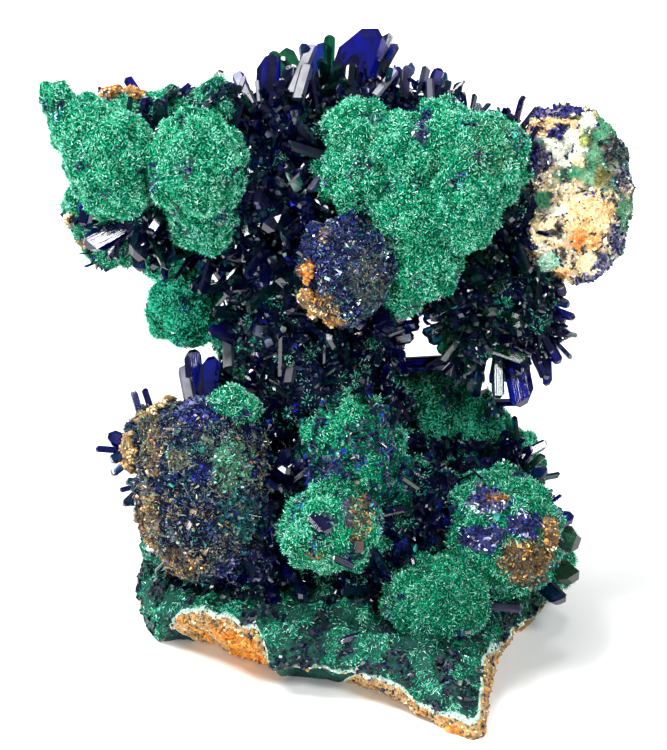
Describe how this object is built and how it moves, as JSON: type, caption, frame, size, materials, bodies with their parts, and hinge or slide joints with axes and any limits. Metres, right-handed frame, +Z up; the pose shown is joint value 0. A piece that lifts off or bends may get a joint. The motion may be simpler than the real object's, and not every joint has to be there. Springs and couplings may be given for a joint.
{
  "type": "azurite and malachite specimen",
  "caption": "Mineral specimen: velvety green malachite balls and deep blue azurite blades grown on a wavy limonite crust, with a narrow waist. It rests on the crust's flat underside.",
  "frame": {"origin": "on the flat underside of the crust, near its middle", "axes": "+Z up, +X to the right as seen from the front, -Y towards the front, which the crust's long corner points to"},
  "size_m": [0.0596, 0.0526, 0.0542],
  "materials": {
    "malachite": "velvet of fine glossy needles",
    "azurite": "glassy dark blue blades",
    "limonite": "crumbly ochre and cream crust"
  },
  "bodies": {
    "root": {"specimen": "malachite"}
  },
  "joints": []
}
